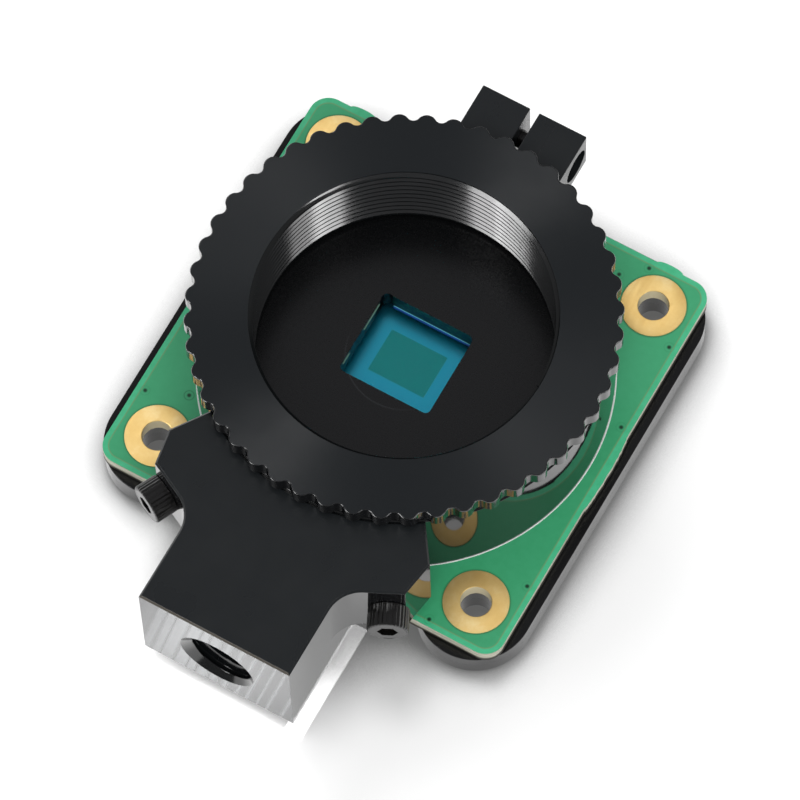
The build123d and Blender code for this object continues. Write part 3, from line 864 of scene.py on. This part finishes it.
for i, side in enumerate((-1, 1)):
    head = screw(f"tripod_screw_{i}", radial(side), **TRIPOD_SCREW)
    if i == 0:
        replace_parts(head, "tripod_screws")
for i, side in enumerate((-1, 1)):
    down = Matrix.Translation((side * BASE_SCREW_X, 0, COVER_STEP)) @ Matrix.Rotation(math.pi, 4, "X")
    head = screw(f"base_screw_{i}", down, **BASE_SCREW)
    if i == 0:
        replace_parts(head, "base_screws")
along_x = Matrix.Translation((LOCK_SEAT, LOCK_Y, LOCK_Z)) @ Matrix.Rotation(math.pi / 2, 4, "Y")
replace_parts(screw("lock_screw_head", along_x, **LOCK_SCREW), "lock_screw")


# Tripod mount

def mount_outline():
    """Outline from above: foot, rounded necks, wings square to their screws, and the back on the housing."""
    tip_past_screw, side_past_tip, root_inside_side = 1.23, 0.5, 2.15
    fillet_r = 3.0
    a = SCREW_ANGLE

    def face_y(x):
        """Where the wing's face is at an x."""
        return -(WING_FACE_R - x * math.sin(a)) / math.cos(a)

    tip_x = WING_FACE_R * math.sin(a) + tip_past_screw
    side_x = tip_x + side_past_tip
    root_x = side_x - root_inside_side
    root_y = -math.sqrt(HOUSING_R ** 2 - root_x ** 2)
    bend = 90 - SCREW_ANGLE / DEG
    run = fillet_r * math.tan(bend * DEG / 2)
    neck = arc(MOUNT_HALF + fillet_r, face_y(MOUNT_HALF) - run, fillet_r, 180 - bend, 180, 16)
    right = [(root_x, root_y), (side_x, -HOUSING_R + 0.05), (tip_x, face_y(tip_x))]
    right += neck + [(MOUNT_HALF, MOUNT_END)]
    left = [(-x, y) for x, y in reversed(right)]
    half = math.degrees(math.atan2(root_x, -root_y))
    back = arc(0, 0, HOUSING_R + 0.005, 270 - half, 270 + half, 60)
    return list(reversed(right + left + back[1:-1]))


def mount_finish(face):
    """Material index of a face: 0 on top, 1 at the sides and in the bore, 2 on the end, 3 on its rim, whose
    lighter brownish colour is a painted highlight.
    """
    normal, centre = face.normal, face.center / MM
    if normal.y < -0.99 and centre.y < MOUNT_END + 0.1:
        return 2
    if centre.y < MOUNT_END + 1 and math.hypot(centre.x, centre.z - TRIPOD_Z) < TRIPOD_MOUTH_R + 0.2:
        return 1
    # Painted highlight: only the chamfer along the front edge gets the lighter colour; the other chamfers
    # stay black.
    if 0.3 < normal.z < 0.95:
        return 3 if centre.y < MOUNT_END + 0.3 else 0
    return face.material_index


def tripod_mount():
    """Mount body with its bore, and the helix of the tripod thread."""
    finishes = [mount_black, mount_side, mount_end, mount_rim_highlight]
    wings = prism("mount", mount_outline(), WING_Z, HOUSING_TOP, finishes, top=0.16, wall=1, segments=1)
    base = [(-MOUNT_HALF, MOUNT_END), (MOUNT_HALF, MOUNT_END), (MOUNT_HALF, MOUNT_INNER),
            (-MOUNT_HALF, MOUNT_INNER)]
    foot = prism("mount_foot", base, COVER_TOP, WING_Z + 2, finishes, wall=1)
    body = boolean(wings, foot, "UNION")
    to_y = Matrix.Translation((0, MOUNT_END, TRIPOD_Z)) @ Matrix.Rotation(-math.pi / 2, 4, "X")
    core, depth, past = 0.001, 9.0, 1.0
    bore = [(core, -past), (TRIPOD_MOUTH_R + past, -past), (TRIPOD_MOUTH_R, 0.0), (TRIPOD_BORE_R, 0.21),
            (TRIPOD_BORE_R, depth), (core, depth)]
    body = boolean(body, lathe("bore", bore, [mount_black], 96, place=to_y), "DIFFERENCE")
    for face in body.data.polygons:
        face.material_index = mount_finish(face)
    helix = thread("tripod_thread", TRIPOD_R, TRIPOD_ROOT_R, TRIPOD_PITCH, 0.01, depth - 0.1, 120,
                   thread_black, place=to_y, lead=TRIPOD_MOUTH_R - 0.015)
    return body, helix


mount, mount_thread = tripod_mount()
put(mount, "module", "mount_black", "tripod_mount")
put(mount_thread, "module", "mount_black")


# Board, lands and cover

def board_outline():
    """Rounded rectangle with two low bumps at the back and a torn, slightly bulging right side."""
    r = BOARD_CORNER
    bump_x, bump_half, bump_height = 14.6, 1.2, 0.28
    bulge, bulge_half, tear = 0.22, 3.6, 0.03
    inner_x, inner_back, inner_front = BOARD_HALF - r, BOARD_BACK - r, BOARD_FRONT + r
    points = arc(inner_x, inner_back, r, 0, 90)
    for x in (bump_x, -bump_x):
        points += arc(x, BOARD_BACK, bump_half, 0, 180, 15, ry=bump_height)
    points += arc(-inner_x, inner_back, r, 90, 180)
    points += arc(-inner_x, inner_front, r, 180, 270)
    points += arc(inner_x, inner_front, r, 270, 360)
    torn = arc(BOARD_HALF, 0.0, bulge, -90, 90, 30, ry=bulge_half)
    return points + [(x + random.uniform(-tear, tear), y) for x, y in torn]


def land(name, x, y):
    """Gold rim on the board round a corner hole, with the plated barrel through it."""
    barrel_r = HOLE_R + 0.045
    section = [(HOLE_R, COVER_TOP), (barrel_r, COVER_TOP), (barrel_r, DECK), (LAND_R, DECK),
               (LAND_R - 0.02, LAND_TOP - 0.015), (LAND_R - 0.06, LAND_TOP), (HOLE_R + 0.05, LAND_TOP),
               (HOLE_R, LAND_TOP - 0.03)]
    return lathe(name, section, [gold, barrel_gold], 96, place=Matrix.Translation((x, y, 0)),
                 material_index=[1, 1, 1, 0, 0, 0, 0, 1])


def cover_outline():
    """Rounded square with the connector's notch in front. Its far edge is drawn in to fit the photo."""
    r, far_in = COVER_CORNER, 0.4
    notch_half, notch_y, notch_r = 10.0, -12.43, 1.2
    c = COVER_HALF - r
    points = arc(c, c - far_in, r, 0, 90, 16) + arc(-c, c - far_in, r, 90, 180, 16)
    points += arc(-c, -c, r, 180, 360, 32)
    points += arc(-notch_half + notch_r, notch_y - notch_r, notch_r, 180, 90, 9)
    points += arc(notch_half - notch_r, notch_y - notch_r, notch_r, 90, 0, 9)
    return points + arc(c, -c, r, 180, 360, 32)


hole_centres = [(sx * HOLE_AT, sy * HOLE_AT) for sx in (-1, 1) for sy in (-1, 1)]
board = prism("board", board_outline(), COVER_TOP, DECK, [board_green, board_edge],
              holes=[circle(HOLE_R + 0.05, 64, x, y) for x, y in hole_centres], wall=1)
put(board, "module", "board_green", "circuit_board")
for i, (x, y) in enumerate(hole_centres):
    put(land(f"land_{i}", x, y), "module", "gold", *(["hole_lands"] if i == 0 else []))

screw_spots = [(side * BASE_SCREW_X, 0) for side in (-1, 1)]
recess_r, clearance_r = 2.1, 1.05
through = [circle(HOLE_R, 64, x, y) for x, y in hole_centres]
low = prism("cover_low", cover_outline(), 0.0, COVER_STEP, [cover_black], bottom=0.2,
            holes=through + [circle(recess_r, 64, x, y) for x, y in screw_spots])
high = prism("cover_high", cover_outline(), COVER_STEP, COVER_TOP, [cover_black], top=0.05,
             holes=through + [circle(clearance_r, 48, x, y) for x, y in screw_spots])
put(low, "module", "cover_black", "back_cover")
put(high, "module", "cover_black")


# Floor, light and camera

FLOOR_GLOW = 0.3
FLOOR_GLOSS = 0.45
FLOOR_Z = -0.05
FLOOR_HALF = 3000.0
SKY_DIFFUSE = (0.6, 0.6, 0.6)
SKY_TOP = (0.25, 0.25, 0.2625)
SKY_SIDE = (0.12, 0.12, 0.12)
GLOSSY = {"diffuse": False, "glossy": True}


def stage_material():
    """Pale floor that glows. For the camera it is darkened near the object as painted shade, taken from
    ambient occlusion, but not in front of the mount.
    """
    s = Shader("floor")
    path = s.node("ShaderNodeLightPath").outputs
    open_sky = s.node("ShaderNodeAmbientOcclusion", {"Distance": 6.0 * MM}, samples=8).outputs["AO"]
    behind_end = s.fade(s.xyz()[1], -28.0, -24.0)
    # Painted shade: camera rays see the floor darker where ambient occlusion finds the object close.
    dim = s.times(s.fade(open_sky, 0.5, 0.87, 0.68, 0.0), behind_end)
    shade = s.minus(1.0, s.times(path["Is Camera Ray"], dim))
    s.set(Base_Color=s.mix(shade, (0.0, 0.0, 0.0), (0.7, 0.7, 0.7)), Roughness=0.6, Specular_IOR_Level=0.0)
    seen = s.times(path["Is Camera Ray"], s.minus(1.0, dim), FLOOR_GLOW)
    mirrored = s.times(path["Is Glossy Ray"], FLOOR_GLOSS)
    glow = s.node("ShaderNodeEmission", {0: (1.0, 1.0, 1.0), 1: s.add(seen, mirrored)}).outputs[0]
    both = s.node("ShaderNodeAddShader", {0: s.bsdf.outputs[0], 1: glow})
    s.feed(s.out.inputs[0], both.outputs[0])
    return s.mat


def floor_stage():
    """Wide floor just under the object."""
    corners = [(x * FLOOR_HALF, y * FLOOR_HALF, FLOOR_Z) for x, y in ((-1, -1), (1, -1), (1, 1), (-1, 1))]
    obj = add_mesh("floor", corners, [(0, 1, 2, 3)], [stage_material()])


def area(name, place, size, power, only, diffuse=True, glossy=False):
    """Soft rectangular lamp aimed at the object, in metres. It lights the pieces named in only."""
    data = bpy.data.lights.new(name, "AREA")
    data.shape, data.size, data.size_y, data.energy = "RECTANGLE", size[0], size[1], power
    obj = bpy.data.objects.new(name, data)
    obj.location = place
    obj.rotation_euler = (Vector((0, 0, 0.005)) - Vector(place)).to_track_quat("-Z", "Y").to_euler()
    obj.visible_diffuse, obj.visible_glossy, obj.visible_transmission = diffuse, glossy, False
    bpy.context.scene.collection.objects.link(obj)
    receivers = bpy.data.collections.new(name + "_only")
    for piece in only:
        receivers.objects.link(bpy.data.objects[piece])
    obj.light_linking.receiver_collection = receivers
    return obj


def glint(x, y, z, size, power, spread):
    """Light that the polished side and end faces throw on the floor beside them, in millimetres."""
    width, depth = size
    obj = area("glint", (x * MM, y * MM, z * MM), (width * MM, depth * MM), power, only=["floor"])
    obj.rotation_euler = (0, 0, 0)
    obj.data.spread = spread * DEG
    obj.visible_camera = False


def around(azimuth, elevation):
    """Place a metre away at an azimuth and elevation in degrees."""
    a, e = azimuth * DEG, elevation * DEG
    return math.cos(e) * math.cos(a), math.cos(e) * math.sin(a), math.sin(e)


def world_light():
    """Even light on rough surfaces and through glass. Reflections get a darker sky."""
    world = bpy.data.worlds.new("studio")
    bpy.context.scene.world = world
    world.use_nodes = True
    graph = Graph(world.node_tree)
    path = graph.node("ShaderNodeLightPath").outputs
    mirrored = graph.math("SUBTRACT", path["Is Glossy Ray"], path["Is Transmission Ray"], clamp=True)
    direction = graph.node("ShaderNodeTexCoord").outputs["Generated"]
    height = graph.node("ShaderNodeSeparateXYZ", {0: direction}).outputs[2]
    sky = graph.ramp(height, (0.3, SKY_SIDE), (0.85, SKY_TOP))
    background = graph.tree.nodes["Background"]
    graph.feed(background.inputs["Color"], graph.mix(mirrored, SKY_DIFFUSE, sky))


def camera():
    """The photograph's view, fitted to the corner holes, the ring and the mount. The place is in metres."""
    lens, place = 333.3, (0.12379, -0.20113, 0.56703)
    right, up = Vector((0.8703, 0.4923, -0.0164)), Vector((-0.4494, 0.8071, 0.3829))
    data = bpy.data.cameras.new("camera")
    data.lens, data.sensor_width, data.clip_start, data.clip_end = lens, 36.0, 0.05, 10.0
    obj = bpy.data.objects.new("camera", data)
    bpy.context.scene.collection.objects.link(obj)
    back = right.cross(up).normalized()
    up = back.cross(right).normalized()
    m = Matrix((right.normalized(), up, back)).transposed().to_4x4()
    m.translation = Vector(place)
    obj.matrix_world = m
    bpy.context.scene.camera = obj


floor_stage()
world_light()
solid = [o.name for o in bpy.data.objects if o.type == "MESH" and o.name != "floor"]
sheltered = ("housing_floor", "sensor_die", "pixel_array", "sensor_glass", "filter_glass", "filter_bead",
             "filter_rim", "side_bead_0", "side_bead_1")
glossy_parts = [name for name in solid if name not in sheltered and "screw" not in name]
lands = [f"land_{i}" for i in range(len(hole_centres))]
area("key", (0.35, -0.4, 0.95), (0.8, 0.8), 6.1, only=solid)
area("floor_high", (-0.2, 0.2, 1.0), (0.3, 0.3), 4.4, only=["floor"])
area("floor_low", (-0.75, 0.45, 0.8), (0.7, 0.7), 7.0, only=["floor"])
area("gold_key", (-0.2, 0.33, 0.92), (0.6, 0.6), 1.65, only=lands, **GLOSSY)
area("soft_left", around(-128, 50), (0.32, 0.5), 4.5, only=glossy_parts, **GLOSSY)
area("soft_right", around(0, 50), (0.3, 0.5), 1.5, only=glossy_parts, **GLOSSY)
area("soft_back", around(152, 40), (0.5, 0.4), 1.2, only=glossy_parts, **GLOSSY)
for i, azimuth in enumerate((-109, -14)):
    area(f"thread_key_{i}", around(azimuth, 42), (0.24, 0.5), 2.6, only=["lens_thread"], **GLOSSY)
glint(MOUNT_HALF - 0.15, -25.6, 2.4, (1.7, 11.0), 0.00007, 3)
glint(0.0, -33.5, 20.0, (14.5, 4.5), 0.00052, 40)
camera()
bpy.context.scene.view_settings.view_transform = "Standard"
